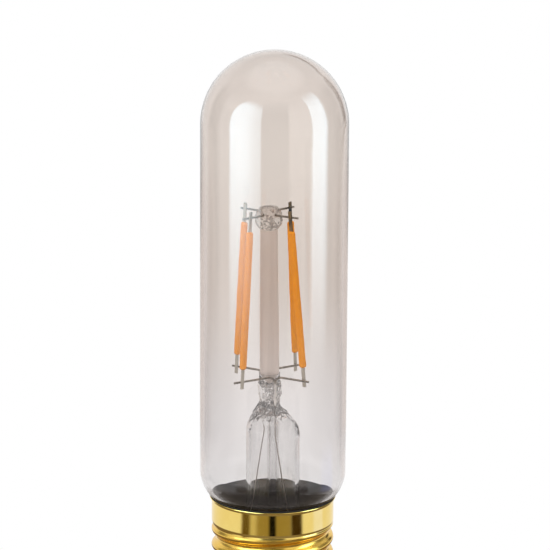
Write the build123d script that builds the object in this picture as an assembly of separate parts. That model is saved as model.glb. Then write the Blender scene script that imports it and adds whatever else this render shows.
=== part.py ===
"""Tubular filament light bulb with an E27 screw cap.

Millimetres, +Z up along the cap's axis, origin at the middle of the centre contact's face.
+X is the viewer's right and -Y faces the viewer.
"""

from build123d import *
import os
from math import acos, asin, cos, degrees, pi, radians, sin, sqrt

# Glass envelope
tube_diameter = 31.5
overall_length = 124.35
glass_wall = 0.8
shoulder_radius = 8.0
neck_fillet = 4.0
neck_gap = 0.53

# Screw cap: the shell is drawn from sheet, and its round thread is rolled into it
cap_height = 27.0
sheet = 0.3
thread_diameter = 26.45
thread_depth = 1.095
thread_pitch = 3.629
thread_runout = 1.7
thread_toe_runout = 2.4
skirt_height = 5.73
lip_height = 0.8
lip_flare = 0.4
lip_clearance = 0.1
toe_height = 4.5
toe_radius = 1.3
toe_return = 0.63
ring_points = 16
rings_per_turn = 8
toe_steps = 4

# Cap insulator and centre contact
plug_height = 2.8
cone_margin = 0.6
fit_clearance = 0.05
contact_diameter = 10.4
contact_thickness = 1.0
contact_edge = 0.3
contact_shank_diameter = 3.0

# Cement between the neck and the shell
cement_inset = 0.33
cement_gap = 0.02

# Glass stem: flare, tube and pinch
stem_tube_diameter = 11.5
stem_wall = 0.85
flare_height = 8.5
stem_tube_length = 14.3
gather_height = 6.5
pinch_height = 4.4
pinch_thickness = 3.4
pinch_swell = 0.35
pinch_cover = 0.4
pinch_azimuth = 116.0
collar_height = 2.2
collar_wall = 0.15
hollow_floor = 2.2
hollow_end_diameter = 4.4
exhaust_diameter = 2.5
exhaust_bore = 1.3
exhaust_reach = 2.3

# Sections of the gather: share of its height, and share of the tube's size that is left
gather_steps = ((0.2, 0.96), (0.63, 0.58), (1.0, 0.0))

# Filament mount, which stands on the pinch
mount_offset = -0.8
mount_lean = 0.5
rod_foot_diameter = 4.2
rod_head_diameter = 3.7
rod_point = 2.8
rod_tip_diameter = 0.7
bead_diameter = 6.0
bead_height = 4.8
bead_equator = 2.1
bead_wire_level = 3.4
wire_diameter = 0.45
wire_bend = 0.8
wire_overhang = 1.5
weld_bead_diameter = 0.8
weld_clearance = 0.05
arm_knee = 0.6
arm_bend = 1.9
upper_wire_run = 4.4
upper_wire_aside = 1.2
lower_wire_height = 2.0
lower_circle_radius = 9.2
upper_circle_radius = 6.4
filament_azimuth = 49.0

# Filament: coated strip with a metal tab at each end
filament_length = 38.0
tab_length = 4.2
tab_overhang = 1.4
tab_width = 0.8
tab_thickness = 0.25
coat_width = 1.5
coat_depth = 1.2
coat_edge = 0.35
weld_gap = 0.15

# Leads and driver inside the cap
lead_diameter = 0.25
lead_bend = 4.0
pad_reach = 5.2
pad_aside = 0.45
flare_gap = 0.85
cup_gap = 0.63
cup_wall = 0.6
cup_floor = 0.6
cup_hole_diameter = 5.0
board_thickness = 1.0
board_depth = 0.9
board_ledge = 0.9
board_clearance = 0.1
board_hole_diameter = 4.2
capacitor_diameter = 6.0
capacitor_length = 9.0
capacitor_clearance = 0.7
chip_length = 4.9
chip_width = 3.9
chip_height = 1.5
chip_leg_length = 0.8
chip_leg_width = 0.7
chip_leg_thickness = 0.3
resistor_diameter = 2.2
resistor_length = 5.6

# Worked out from the sizes above: the cap
major_r = thread_diameter / 2
minor_r = major_r - thread_depth
quarter_pitch = thread_pitch / 4
thread_arc = (thread_depth**2 / 4 + quarter_pitch**2) / thread_depth
skirt_bottom_z = cap_height - skirt_height
thread_bottom_z = toe_height + toe_radius
groove_z = skirt_bottom_z - thread_runout
lip_r = major_r + lip_flare
toe_opening_r = minor_r - toe_radius - toe_return
insulator_top_z = toe_height + sheet + plug_height

# The driver, stacked up from the insulator
cup_r = minor_r - sheet - cup_gap
cup_bore_r = cup_r - cup_wall
ledge_r = cup_bore_r - board_ledge
board_r = cup_bore_r - board_clearance
board_z = insulator_top_z + cup_floor + capacitor_clearance + capacitor_diameter
cup_top_z = board_z + board_thickness + board_depth

# The glass
tube_r = tube_diameter / 2
neck_r = minor_r - sheet - neck_gap
neck_end_z = cup_top_z + flare_gap + stem_wall
stem_tube_r = stem_tube_diameter / 2
flare_turn_z = neck_end_z + flare_height
stem_tube_top_z = flare_turn_z + stem_tube_length
pinch_waist_z = stem_tube_top_z + gather_height
pinch_top_z = pinch_waist_z + pinch_height
hollow_end_z = pinch_waist_z - hollow_floor

# The mount
collar_r = rod_foot_diameter / 2 + collar_wall
lead_pitch = 2 * collar_r + weld_bead_diameter + 2 * weld_clearance
pinch_length = lead_pitch + wire_diameter + 2 * pinch_cover
coat_length = filament_length - 2 * tab_length
wire_span = filament_length - 2 * tab_overhang
upper_wire_height = lower_wire_height + sqrt(wire_span**2 - (lower_circle_radius - upper_circle_radius) ** 2)
bead_z = upper_wire_height - bead_wire_level


def turned(outline):
    """Solid of revolution about Z of a closed outline drawn in the XZ plane."""
    return revolve(Plane.XZ * make_face(outline), Axis.Z)


def wire_along(path, diameter):
    """Round wire that follows a path."""
    return sweep(Plane(path @ 0, z_dir=path % 0) * Circle(diameter / 2), path=path)


def rod_between(start, end, diameter):
    """Straight round rod with flat ends."""
    return wire_along(Line(start, end), diameter)


def round_point(radius, azimuth, z):
    """Point at a radius and an azimuth in degrees."""
    angle = radians(azimuth)
    return Vector(radius * cos(angle), radius * sin(angle), z)


# Glass envelope


def shoulder_start():
    """Height at which the straight tube turns in, so that the glass just clears the cap's lip."""
    glass_r_at_rim = lip_r - sheet - lip_clearance
    turn = acos(1 - (tube_r - glass_r_at_rim) / shoulder_radius)
    return cap_height + shoulder_radius * sin(turn)


def envelope_side(inset):
    """Tube, shoulder and neck lines, from the dome's equator down to the neck's end."""
    dome_z = overall_length - tube_r
    start_z = shoulder_start()
    reach = shoulder_radius + neck_fillet
    turn = acos(1 - (tube_r - neck_r) / reach)
    neck_top_z = start_z - reach * sin(turn)
    angle = degrees(turn)
    return [
        Line((tube_r - inset, dome_z), (tube_r - inset, start_z)),
        CenterArc((tube_r - shoulder_radius, start_z), shoulder_radius - inset, 0, -angle),
        CenterArc((neck_r + neck_fillet, neck_top_z), neck_fillet + inset, 180 - angle, angle),
        Line((neck_r - inset, neck_top_z), (neck_r - inset, neck_end_z)),
    ]


def glass_envelope():
    """Blown tube with a half-round dome, a shoulder and an open neck."""
    dome_z = overall_length - tube_r
    inner_r = tube_r - glass_wall
    return turned(
        [
            CenterArc((0, dome_z), tube_r, 0, 90),
            *envelope_side(0),
            Line((neck_r, neck_end_z), (neck_r - glass_wall, neck_end_z)),
            *envelope_side(glass_wall),
            CenterArc((0, dome_z), inner_r, 0, 90),
            Line((0, dome_z + inner_r), (0, dome_z + tube_r)),
        ]
    )


# Screw cap


def smooth_step(share):
    """0 below 0, 1 above 1 and a smooth rise between."""
    share = min(1.0, max(0.0, share))
    return share * share * (3 - 2 * share)


def thread_radius(z, angle, inset):
    """Radius of the rolled thread at a height and an angle, on the outer face or inset into the sheet.

    The profile is a round groove and a round crest that meet at a tangent. It fades out into the
    smooth skirt above and into the toe below.
    """
    turns = (z - groove_z) / thread_pitch - angle / (2 * pi)
    from_groove = thread_pitch * abs(turns - round(turns))
    groove_arc = thread_arc + inset
    crest_arc = thread_arc - inset
    if from_groove <= quarter_pitch * groove_arc / thread_arc:
        radius = minor_r + thread_arc - sqrt(groove_arc**2 - from_groove**2)
    else:
        from_crest = thread_pitch / 2 - from_groove
        radius = major_r - thread_arc + sqrt(crest_arc**2 - from_crest**2)
    crest = major_r - inset
    root = minor_r - inset
    faded = crest - (crest - radius) * smooth_step((skirt_bottom_z - z) / thread_runout)
    return root + (faded - root) * smooth_step((z - thread_bottom_z) / thread_toe_runout)


def level_ring(radius_at, z):
    """Closed spline at a level, through points at the radius that each angle has."""
    points = []
    for k in range(ring_points):
        angle = 2 * pi * k / ring_points
        radius = radius_at(angle)
        points.append((radius * cos(angle), radius * sin(angle), z))
    return Spline(*points, periodic=True)


def plain_ring(radius, z):
    """Round ring at a level."""
    return level_ring(lambda angle: radius, z)


def shell_rings(inset):
    """Rings up one face of the shell's sheet: toe, thread, skirt and lip."""
    rings = [plain_ring(toe_opening_r, toe_height + inset)]
    bend_r = toe_radius - inset
    for i in range(toe_steps):
        turn = pi / 2 * i / toe_steps
        bend_z = thread_bottom_z - bend_r * cos(turn)
        rings.append(plain_ring(minor_r - toe_radius + bend_r * sin(turn), bend_z))
    height = skirt_bottom_z - thread_bottom_z
    count = round(height / thread_pitch * rings_per_turn)
    for i in range(count + 1):
        z = thread_bottom_z + height * i / count
        rings.append(level_ring(lambda angle: thread_radius(z, angle, inset), z))
    rings.append(plain_ring(major_r - inset, cap_height - lip_height))
    rings.append(plain_ring(lip_r - inset, cap_height))
    return rings


def screw_shell():
    """Drawn sheet shell: flared lip, smooth skirt, rolled thread and a toe turned in round the insulator."""
    rings = shell_rings(0) + shell_rings(sheet)[::-1]
    bands = [Face.make_surface_from_curves(a, b) for a, b in zip(rings, rings[1:] + rings[:1])]
    return Solid(Shell(bands))


def insulator():
    """Black glass button in the toe, a cone below and a plug above, with a bore for the contact."""
    bore_r = contact_shank_diameter / 2 + fit_clearance
    throat_r = toe_opening_r - fit_clearance
    plug_r = minor_r - toe_radius
    return turned(
        Polyline(
            (bore_r, contact_thickness),
            (contact_diameter / 2 + cone_margin, contact_thickness),
            (throat_r, toe_height),
            (throat_r, toe_height + sheet),
            (plug_r, toe_height + sheet),
            (plug_r, insulator_top_z),
            (bore_r, insulator_top_z),
            close=True,
        )
    )


def centre_contact():
    """Brass contact: a flat round head and a shank pushed through the insulator."""
    head = extrude(Circle(contact_diameter / 2), contact_thickness)
    head = fillet(head.edges().group_by(Axis.Z)[0], contact_edge)
    return head + extrude(Circle(contact_shank_diameter / 2), insulator_top_z)


def capping_cement():
    """Dark cement ring that fills the skirt round the neck."""
    bottom_z = skirt_bottom_z + cement_inset
    height = cap_height - lip_height - bottom_z
    ring = Pos(0, 0, bottom_z) * extrude(Circle(major_r - sheet - cement_gap), height)
    start_z = shoulder_start()
    core = turned(
        [
            Line((0, start_z), (tube_r + cement_gap, start_z)),
            *envelope_side(-cement_gap)[1:],
            Line((neck_r + cement_gap, neck_end_z), (0, neck_end_z)),
            Line((0, neck_end_z), (0, start_z)),
        ]
    )
    return ring - core


# Glass stem


def mount_place():
    """Place of the filament mount: on the pinch, a little off the cap's axis and leaning."""
    return Pos(mount_offset, 0, pinch_top_z) * Rot(0, -mount_lean, 0)


def lead_foot(side):
    """Point on the pinch where a lead passes, in the mount's frame. Side is 1 at the back and -1 in front."""
    return round_point(side * lead_pitch / 2, pinch_azimuth, 0)


def flare():
    """Stem tube with the trumpet whose rim is sealed to the neck's end."""
    bore_r = stem_tube_r - stem_wall
    rim_r = neck_r - glass_wall
    rim_z = neck_end_z - stem_wall
    across = rim_r - stem_tube_r
    turn_r = (across**2 + flare_height**2) / (2 * across)
    turn_centre = (stem_tube_r + turn_r, flare_turn_z)
    under_r = turn_r + stem_wall
    under_height = flare_height + stem_wall
    under_rim_r = turn_centre[0] - sqrt(under_r**2 - under_height**2)
    return turned(
        [
            Line((stem_tube_r, stem_tube_top_z), (stem_tube_r, flare_turn_z)),
            CenterArc(turn_centre, turn_r, 180, degrees(asin(flare_height / turn_r))),
            Line((rim_r, neck_end_z), (neck_r, neck_end_z)),
            Line((neck_r, neck_end_z), (neck_r, rim_z)),
            Line((neck_r, rim_z), (under_rim_r, rim_z)),
            CenterArc(turn_centre, under_r, 180, degrees(asin(under_height / under_r))),
            Line((bore_r, flare_turn_z), (bore_r, stem_tube_top_z)),
            Line((bore_r, stem_tube_top_z), (stem_tube_r, stem_tube_top_z)),
        ]
    )


def pinch_section(z, shift, along, across):
    """Oval at a level, shifted towards the mount's foot."""
    return Pos(shift * mount_offset, 0, z) * Rot(0, 0, pinch_azimuth) * Ellipse(along, across)


def pinch():
    """Glass gathered in from the stem tube to a flat waist, up to the pinch's swollen end."""
    half_length = pinch_length / 2
    half_thickness = pinch_thickness / 2
    sections = [Pos(0, 0, stem_tube_top_z) * Circle(stem_tube_r)]
    for rise, share in gather_steps:
        along = half_length + share * (stem_tube_r - half_length)
        across = half_thickness + share * (stem_tube_r - half_thickness)
        sections.append(pinch_section(stem_tube_top_z + rise * gather_height, rise, along, across))
    swollen = (half_length + pinch_swell, half_thickness + pinch_swell)
    sections.append(pinch_section(pinch_waist_z + pinch_height / 2, 1.0, *swollen))
    sections.append(pinch_section(pinch_top_z, 1.0, *swollen))
    return loft(sections)


def hollow():
    """Blown hollow that the stem tube ends in, under the pinch."""
    return turned(
        Polyline(
            (0, stem_tube_top_z),
            (stem_tube_r - stem_wall, stem_tube_top_z),
            (hollow_end_diameter / 2, hollow_end_z - stem_wall / 2),
            (exhaust_diameter / 2, hollow_end_z),
            (0, hollow_end_z),
            close=True,
        )
    )


def collar():
    """Short collar of stem glass that holds the rod's point."""
    sunk = pinch_swell
    return Pos(0, 0, -sunk) * extrude(Circle(collar_r), collar_height + sunk)


def stem_flare():
    """Stem glass in one piece: flare and tube, drawn in to the pinch that the leads pass through."""
    glass = flare() + (pinch() - hollow()) + mount_place() * collar()
    glass -= mount_place() * rod_foot(fit_clearance)
    for side in (1, -1):
        glass -= mount_place() * lead_stub(side)
        glass -= lead_tail(side)
    return glass


def exhaust_tube():
    """Exhaust tube, fused to the end of the stem's hollow and tipped off below the driver board."""
    outer_r = exhaust_diameter / 2
    bore_r = exhaust_bore / 2
    tip_z = board_z - exhaust_reach
    taper_z = tip_z + exhaust_diameter
    return turned(
        Polyline(
            (bore_r, hollow_end_z),
            (outer_r, hollow_end_z),
            (outer_r, taper_z),
            (bore_r / 2, tip_z),
            (0, tip_z),
            (0, taper_z),
            (bore_r, taper_z + bore_r),
            close=True,
        )
    )


# Filament mount, drawn in its own frame with the pinch's end at zero


def filament_azimuths():
    """Azimuth of each filament: right back, left back, left front, right front."""
    return [filament_azimuth + turn for turn in (0, 90, 180, 270)]


def rod_foot(gap):
    """Point of the rod, sunk in the collar, with a gap all round for the seat that it is cut from."""
    tip_z = collar_height - rod_point - gap
    return turned(
        Polyline(
            (0, tip_z),
            (rod_tip_diameter / 2, tip_z),
            (rod_foot_diameter / 2 + gap, collar_height),
            (0, collar_height),
            close=True,
        )
    )


def support_rod():
    """Tapered glass rod, pointed below, whose head carries the bead."""
    foot_r = rod_foot_diameter / 2
    head_r = rod_head_diameter / 2
    top_z = bead_z + bead_height
    shank = turned(
        Polyline(
            (0, collar_height),
            (foot_r, collar_height),
            (head_r, bead_z),
            (head_r, top_z),
            (0, top_z),
            close=True,
        )
    )
    rod = rod_foot(0) + shank
    for side in (1, -1):
        rod -= upper_wire(side)
    return rod


def bead():
    """Round bead of glass melted on to the rod's head, which holds the upper wires."""
    head_r = rod_head_diameter / 2
    top_z = bead_z + bead_height
    widest = (bead_diameter / 2, bead_z + bead_equator)
    glass = turned(
        [
            Line((head_r, top_z), (head_r, bead_z)),
            TangentArc(widest, (head_r, bead_z), tangent=(0, -1)),
            TangentArc(widest, (head_r, top_z), tangent=(0, 1)),
        ]
    )
    for side in (1, -1):
        glass -= upper_wire(side)
    return glass


def upper_wire(side):
    """Wire that runs through the bead from front to back and joins the filaments of the right or left side."""
    right_back, left_back, left_front, right_front = filament_azimuths()
    ends = (right_front - 360, right_back) if side > 0 else (left_back, left_front)
    middle_azimuth = sum(ends) / 2
    middle = round_point(upper_wire_aside, middle_azimuth, upper_wire_height)
    along = round_point(upper_wire_run / 2, middle_azimuth + 90, 0)
    bends = (middle - along, middle + along)
    tips = []
    for azimuth, bend in zip(ends, bends):
        pin = round_point(upper_circle_radius, azimuth, upper_wire_height)
        tips.append(pin + (pin - bend).normalized() * wire_overhang)
    return wire_along(FilletPolyline(tips[0], *bends, tips[1], radius=wire_bend), wire_diameter)


def lead_stub(side):
    """The stretch of an inner lead that passes through the pinch, up to its weld."""
    foot = lead_foot(side)
    start = foot - Vector(0, 0, pinch_height)
    weld = foot + Vector(0, 0, weld_bead_diameter)
    return rod_between(start, weld, wire_diameter)


def lead_wire(side):
    """Inner lead: rises through the pinch and branches at a weld into the arms of two filaments."""
    right_back, left_back, left_front, right_front = filament_azimuths()
    ends = (left_back, right_back) if side > 0 else (left_front, right_front)
    weld = lead_foot(side) + Vector(0, 0, weld_bead_diameter)
    wire = lead_stub(side) + Pos(weld) * Sphere(weld_bead_diameter / 2)
    for azimuth in ends:
        pin = round_point(lower_circle_radius, azimuth, lower_wire_height)
        out = Vector(pin.X - weld.X, pin.Y - weld.Y, 0).normalized()
        knee = Vector(weld.X, weld.Y, lower_wire_height) + out * arm_knee
        arm = FilletPolyline(weld, knee, pin + out * wire_overhang, radius=arm_bend)
        wire += wire_along(arm, wire_diameter)
    return wire


def filament_plane(azimuth):
    """Plane at a filament's lower end, with its normal along the filament, beside its two wires.

    A left filament stays on the same side of both wires. A right one changes sides on its way up.
    """
    aside = round_point(1, azimuth + 90, 0)
    beside = aside * (wire_diameter / 2 + tab_thickness / 2 + weld_gap)
    pin = round_point(lower_circle_radius, azimuth, lower_wire_height)
    upper_side = -1 if pin.X > 0 else 1
    low = pin + beside
    high = round_point(upper_circle_radius, azimuth, upper_wire_height) + beside * upper_side
    along = (high - low).normalized()
    return Plane(low - along * tab_overhang, x_dir=aside, z_dir=along)


def filament_pieces(azimuth):
    """Coated strip and its two end tabs, in the mount's frame."""
    place = filament_plane(azimuth).location
    strip = extrude(Rectangle(coat_depth, coat_width), coat_length)
    strip = fillet(strip.edges(), coat_edge)
    tab = extrude(Rectangle(tab_thickness, tab_width), tab_length)
    return {
        "coat": place * Pos(0, 0, tab_length) * strip,
        "lower_tab": place * tab,
        "upper_tab": place * Pos(0, 0, tab_length + coat_length) * tab,
    }


# Leads and driver inside the cap


def lead_start(side):
    """Point in the pinch where an outer lead takes over from the inner one."""
    return (mount_place() * Pos(lead_foot(side) - Vector(0, 0, pinch_height))).position


def lead_turn(side):
    """Point under the pinch where an outer lead starts to spread."""
    start = lead_start(side)
    return Vector(start.X, start.Y, stem_tube_top_z)


def lead_tail(side):
    """The stretch of an outer lead that lies in the pinch."""
    return rod_between(lead_start(side), lead_turn(side), lead_diameter)


def outer_lead(side):
    """Copper lead, straight down out of the pinch and then spreading to its pad on the driver board."""
    pad_z = board_z + board_thickness + lead_diameter / 4
    pad = Vector(mount_offset - side * pad_reach, side * pad_aside, pad_z)
    return wire_along(FilletPolyline(lead_start(side), lead_turn(side), pad, radius=lead_bend), lead_diameter)


def insulating_cup():
    """Plastic cup that keeps the driver off the shell, with a ledge for the board and a slot for a wire."""
    hole_r = cup_hole_diameter / 2
    floor_z = insulator_top_z + cup_floor
    cup = turned(
        Polyline(
            (hole_r, insulator_top_z),
            (minor_r - toe_radius, insulator_top_z),
            (cup_r, insulator_top_z + toe_radius),
            (cup_r, cup_top_z),
            (cup_bore_r, cup_top_z),
            (cup_bore_r, board_z),
            (ledge_r, board_z),
            (ledge_r, floor_z),
            (hole_r, floor_z),
            close=True,
        )
    )
    slot = Box(2 * lead_diameter, cup_r, cup_top_z - board_z, align=(Align.CENTER, Align.MIN, Align.MIN))
    return cup - Pos(0, ledge_r, board_z) * slot


def driver_board():
    """Round circuit board with a hole for the exhaust tip."""
    return Pos(0, 0, board_z) * extrude(Circle(board_r) - Circle(board_hole_diameter / 2), board_thickness)


def smoothing_capacitor():
    """Small can that lies under the board, with its ends just clear of the cup's ledge."""
    radius = capacitor_diameter / 2
    can = Rot(0, 90, 0) * Cylinder(radius, capacitor_length)
    can = fillet(can.edges(), radius / 6)
    side_y = sqrt((ledge_r - capacitor_clearance) ** 2 - (capacitor_length / 2) ** 2)
    return Pos(0, side_y - radius, board_z - radius) * can


def chip(side):
    """Flat chip under the board, right or left of its hole, with two legs on each long side."""
    top = (Align.CENTER, Align.CENTER, Align.MAX)
    package = Box(chip_width, chip_length, chip_height, align=top)
    reach = chip_width + 2 * chip_leg_length
    for step in (-chip_length / 4, chip_length / 4):
        package += Pos(0, step, 0) * Box(reach, chip_leg_width, chip_leg_thickness, align=top)
    return Pos(side * board_r / 2, -(chip_length + board_hole_diameter / 4) / 2, board_z) * package


def resistor_centre():
    """Middle of the safety resistor, which lies under the board's front edge."""
    return Vector(0, -board_r + board_ledge + resistor_diameter, board_z - resistor_diameter)


def fuse_resistor():
    """Safety resistor with one leg up to the board."""
    radius = resistor_diameter / 2
    centre = resistor_centre()
    body = Rot(0, 90, 0) * Cylinder(radius, resistor_length)
    end = centre + Vector(resistor_length / 2, 0, 0)
    corner = end + Vector(radius, 0, 0)
    leg = FilletPolyline(centre, corner, Vector(corner.X, corner.Y, board_z), radius=wire_bend)
    return Pos(centre) * fillet(body.edges(), radius / 3) + wire_along(leg, lead_diameter)


def live_wire():
    """Wire from the safety resistor to the top of the contact's shank."""
    end = resistor_centre() - Vector(resistor_length / 2, 0, 0)
    corner = end - Vector(resistor_diameter / 2, 0, 0)
    run_z = insulator_top_z + cup_floor + resistor_diameter / 2
    route = FilletPolyline(
        end,
        corner,
        Vector(corner.X, corner.Y, run_z),
        Vector(0, 0, run_z),
        Vector(0, 0, insulator_top_z),
        radius=wire_bend,
    )
    return wire_along(route, lead_diameter)


def neutral_wire():
    """Wire from the board's face out through the cup's slot to the shell."""
    z = board_z + board_thickness + lead_diameter / 2
    shell_r = thread_radius(z, pi / 2, sheet)
    return rod_between((0, board_r - cup_r / 3, z), (0, shell_r - weld_gap, z), lead_diameter)


def light_bulb():
    """Every piece of the bulb by name."""
    pieces = {
        "glass_envelope": glass_envelope(),
        "screw_shell": screw_shell(),
        "insulator": insulator(),
        "centre_contact": centre_contact(),
        "capping_cement": capping_cement(),
        "stem_flare": stem_flare(),
        "exhaust_tube": exhaust_tube(),
        "support_rod": mount_place() * support_rod(),
        "rod_bead": mount_place() * bead(),
        "right_upper_wire": mount_place() * upper_wire(1),
        "left_upper_wire": mount_place() * upper_wire(-1),
        "back_lead_wire": mount_place() * lead_wire(1),
        "front_lead_wire": mount_place() * lead_wire(-1),
        "back_outer_lead": outer_lead(1),
        "front_outer_lead": outer_lead(-1),
        "insulating_cup": insulating_cup(),
        "driver_board": driver_board(),
        "smoothing_capacitor": smoothing_capacitor(),
        "rectifier": chip(-1),
        "driver_chip": chip(1),
        "fuse_resistor": fuse_resistor(),
        "live_wire": live_wire(),
        "neutral_wire": neutral_wire(),
    }
    for number, azimuth in enumerate(filament_azimuths(), start=1):
        for name, piece in filament_pieces(azimuth).items():
            pieces[f"filament_{number}_{name}"] = mount_place() * piece
    return pieces


os.makedirs("parts", exist_ok=True)
for name, piece in light_bulb().items():
    export_step(piece, f"parts/{name}.step")
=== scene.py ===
"""Looks of a tubular filament light bulb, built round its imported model.

Metres, +Z up along the cap's axis. +X is the viewer's right and -Y faces the viewer.
"""

import math
import random

import bmesh
import bpy
from bpy.props import FloatProperty, FloatVectorProperty, PointerProperty
from mathutils import Matrix, Vector, noise


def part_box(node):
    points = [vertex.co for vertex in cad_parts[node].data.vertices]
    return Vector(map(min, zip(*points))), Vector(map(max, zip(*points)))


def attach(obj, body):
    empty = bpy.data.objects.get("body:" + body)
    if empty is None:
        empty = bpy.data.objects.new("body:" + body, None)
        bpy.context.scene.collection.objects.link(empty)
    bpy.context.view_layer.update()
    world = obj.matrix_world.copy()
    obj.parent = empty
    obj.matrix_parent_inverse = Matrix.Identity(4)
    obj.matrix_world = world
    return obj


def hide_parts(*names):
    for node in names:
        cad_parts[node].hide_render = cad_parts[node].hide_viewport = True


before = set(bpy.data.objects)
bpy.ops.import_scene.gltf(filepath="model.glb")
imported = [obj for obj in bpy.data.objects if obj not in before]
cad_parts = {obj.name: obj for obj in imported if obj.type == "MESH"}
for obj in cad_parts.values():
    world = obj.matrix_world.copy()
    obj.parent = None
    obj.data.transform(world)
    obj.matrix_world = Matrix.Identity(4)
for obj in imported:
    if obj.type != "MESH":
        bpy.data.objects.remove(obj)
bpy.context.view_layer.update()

bl_info = {
    "name": "Tubular light bulb",
    "version": (1, 0, 0),
    "blender": (4, 5, 0),
    "location": "View3D > Sidebar > Bulb",
    "description": "Blown glass, brass cap, filament mount and studio of a tubular light bulb",
    "category": "Object",
}

MM = 0.001
GLASS_LOW, GLASS_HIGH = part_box("glass_envelope")
SHELL_LOW, SHELL_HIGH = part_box("screw_shell")
STEM_LOW, STEM_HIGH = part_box("stem_flare")
TUBE_R = min(GLASS_HIGH.x, -GLASS_LOW.x)
# Room between two pieces of glass that meet
GAP = 0.02 * MM
# Radius below which a ring is one point on the axis
ON_AXIS = 1e-9


# Settings


def length(label, description, millimetres):
    """A size that the user can change, given in millimetres."""
    size = millimetres * MM
    return FloatProperty(name=label, description=description, default=size, unit="LENGTH", precision=5)


def share(label, description, value):
    """A plain number."""
    return FloatProperty(name=label, description=description, default=value)


def angle(label, description, degrees):
    """An angle, given in degrees."""
    turn = math.radians(degrees)
    return FloatProperty(name=label, description=description, default=turn, subtype="ANGLE")


def tone(label, description, rgb):
    """A colour."""
    return FloatVectorProperty(name=label, description=description, default=rgb, size=3, subtype="COLOR")


class BulbGlass(bpy.types.PropertyGroup):
    """Blown envelope and glass stem."""

    wall: length("Wall", "Thickness of the envelope at its neck", 0.8)
    tube_wall: length("Tube wall", "Thickness of the blown tube", 1.2)
    dome_wall: length("Dome wall", "Thickness of the dome's top", 0.35)
    shoulder_radius: length("Shoulder radius", "Round of the shoulder above the cap", 8.0)
    neck_fillet: length("Neck fillet", "Round between the shoulder and the neck", 4.0)
    lip_clearance: length("Lip clearance", "Room between the glass and the cap's lip", 0.1)
    ripple: length("Ripple", "Depth of the waves in the blown wall", 0.004)
    dome_tint: tone("Dome tint", "Extra colour of the glass in the dome", (0.90, 0.855, 0.82))
    upper_tint: tone("Upper tint", "Extra colour of the glass in the upper tube", (0.955, 0.916, 0.876))
    lower_tint: tone("Lower tint", "Extra colour of the glass in the lower tube", (0.999, 0.998, 0.999))
    neck_tint: tone("Neck tint", "Extra colour of the glass near the cap", (0.95, 0.952, 0.955))
    smoke: tone("Smoke", "Colour that the thickness of the glass takes on", (0.713, 0.654, 0.641))
    smoke_density: share("Smoke density", "Strength of that colour, per metre of glass", 320.0)
    stem_tint: tone("Stem tint", "Colour of the stem's glass", (0.985, 0.982, 0.98))
    stem_wall: length("Stem wall", "Thickness of the stem tube", 0.85)
    stem_tube_diameter: length("Stem tube", "Diameter of the stem tube", 11.5)
    flare_height: length("Flare height", "Height of the trumpet under the stem tube", 8.5)
    stem_tube_length: length("Stem tube length", "Straight length of the stem tube", 14.3)
    gather_height: length("Gather height", "Height over which the tube is gathered to the pinch", 6.5)
    pinch_height: length("Pinch height", "Height of the pinch", 4.4)
    pinch_length: length("Pinch length", "Long way across the pinch", 6.65)
    pinch_thickness: length("Pinch thickness", "Short way across the pinch", 3.4)
    pinch_swell: length("Pinch swell", "Swelling of the pinch's end", 0.35)
    pinch_azimuth: angle("Pinch azimuth", "Direction of the pinch's long way", 116.0)
    pinch_wrinkle: length("Pinch wrinkle", "Depth of the wrinkles in the pinch", 0.36)
    hollow_floor: length("Hollow floor", "Glass between the hollow's end and the pinch", 2.2)
    exhaust_diameter: length("Exhaust tube", "Diameter of the exhaust tube", 2.5)
    exhaust_bore: length("Exhaust bore", "Bore of the exhaust tube", 1.3)


class BulbCap(bpy.types.PropertyGroup):
    """Brass screw cap."""

    sheet: length("Sheet", "Thickness of the brass sheet", 0.3)
    thread_diameter: length("Thread diameter", "Diameter over the crests", 26.45)
    thread_depth: length("Thread depth", "Depth of the rolled thread", 1.095)
    thread_pitch: length("Thread pitch", "Rise of the thread in one turn", 3.629)
    thread_runout: length("Run-out", "Height over which the thread fades into the skirt", 1.7)
    thread_toe_runout: length("Toe run-out", "Height over which the thread fades into the toe", 2.4)
    skirt_height: length("Skirt height", "Height of the smooth skirt", 5.73)
    line_depth: length("Line depth", "Depth of the line rolled under the skirt", 0.12)
    line_width: length("Line width", "Width of the line rolled under the skirt", 0.25)
    lip_height: length("Lip height", "Height of the flared lip", 0.8)
    toe_radius: length("Toe radius", "Bend of the sheet under the thread", 1.3)
    toe_return: length("Toe return", "Sheet turned in under the toe", 0.63)
    brass: tone("Brass", "Colour of the bright brass", (0.88, 0.665, 0.205))
    # The thread's deeper, redder brass is a painted reflection of the darker ground that its crests mirror,
    # not a different brass
    thread_brass_with_painted_shade: tone("Thread brass", "Colour of the deeper brass of the thread", (0.90, 0.575, 0.11))
    brass_shade: tone("Brass shade", "Colour of the brass in its duller patches", (0.85, 0.625, 0.18))


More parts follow.
